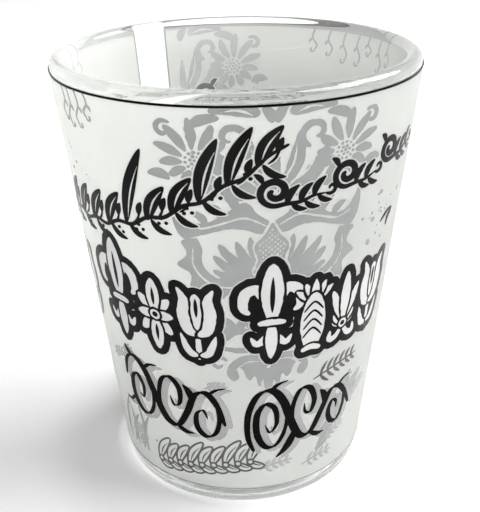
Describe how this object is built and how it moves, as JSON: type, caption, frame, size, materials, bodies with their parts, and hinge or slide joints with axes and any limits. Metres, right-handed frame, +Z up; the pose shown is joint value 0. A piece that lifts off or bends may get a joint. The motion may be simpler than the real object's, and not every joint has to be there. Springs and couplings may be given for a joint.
{
  "type": "shot glass",
  "caption": "Tapered clear shot glass with a thick base, a translucent white printed wall, grey damask and black ornament bands, and one unprinted seam strip.",
  "frame": {"origin": "centre of the ring that the glass stands on, at table height", "axes": "+Z up along the glass's axis of revolution; -Y is the front of the print; +X is to the right seen from the front"},
  "size_m": [0.0486, 0.0486, 0.0608],
  "materials": {
    "clear_glass": "polished",
    "white_print": "translucent satin print coat",
    "opaque_white_ink": "satin ink",
    "grey_ink": "satin ink",
    "pale_grey_ink": "satin ink",
    "black_ink": "satin ink"
  },
  "bodies": {
    "root": {"glass_body": "clear_glass", "white_coat": "white_print", "top_line": "black_ink", "edge_line": "grey_ink", "grey_damask": "grey_ink", "fine_sprigs": "pale_grey_ink", "drop_shadows": "pale_grey_ink", "ornament_fills": "opaque_white_ink", "leaf_garland": "grey_ink", "ink_spatter": "grey_ink", "vine_scrolls": "black_ink", "leaf_sprays": "black_ink", "ornament_outlines": "black_ink", "ornament_cores": "black_ink", "pen_flourishes": "black_ink"}
  },
  "joints": []
}
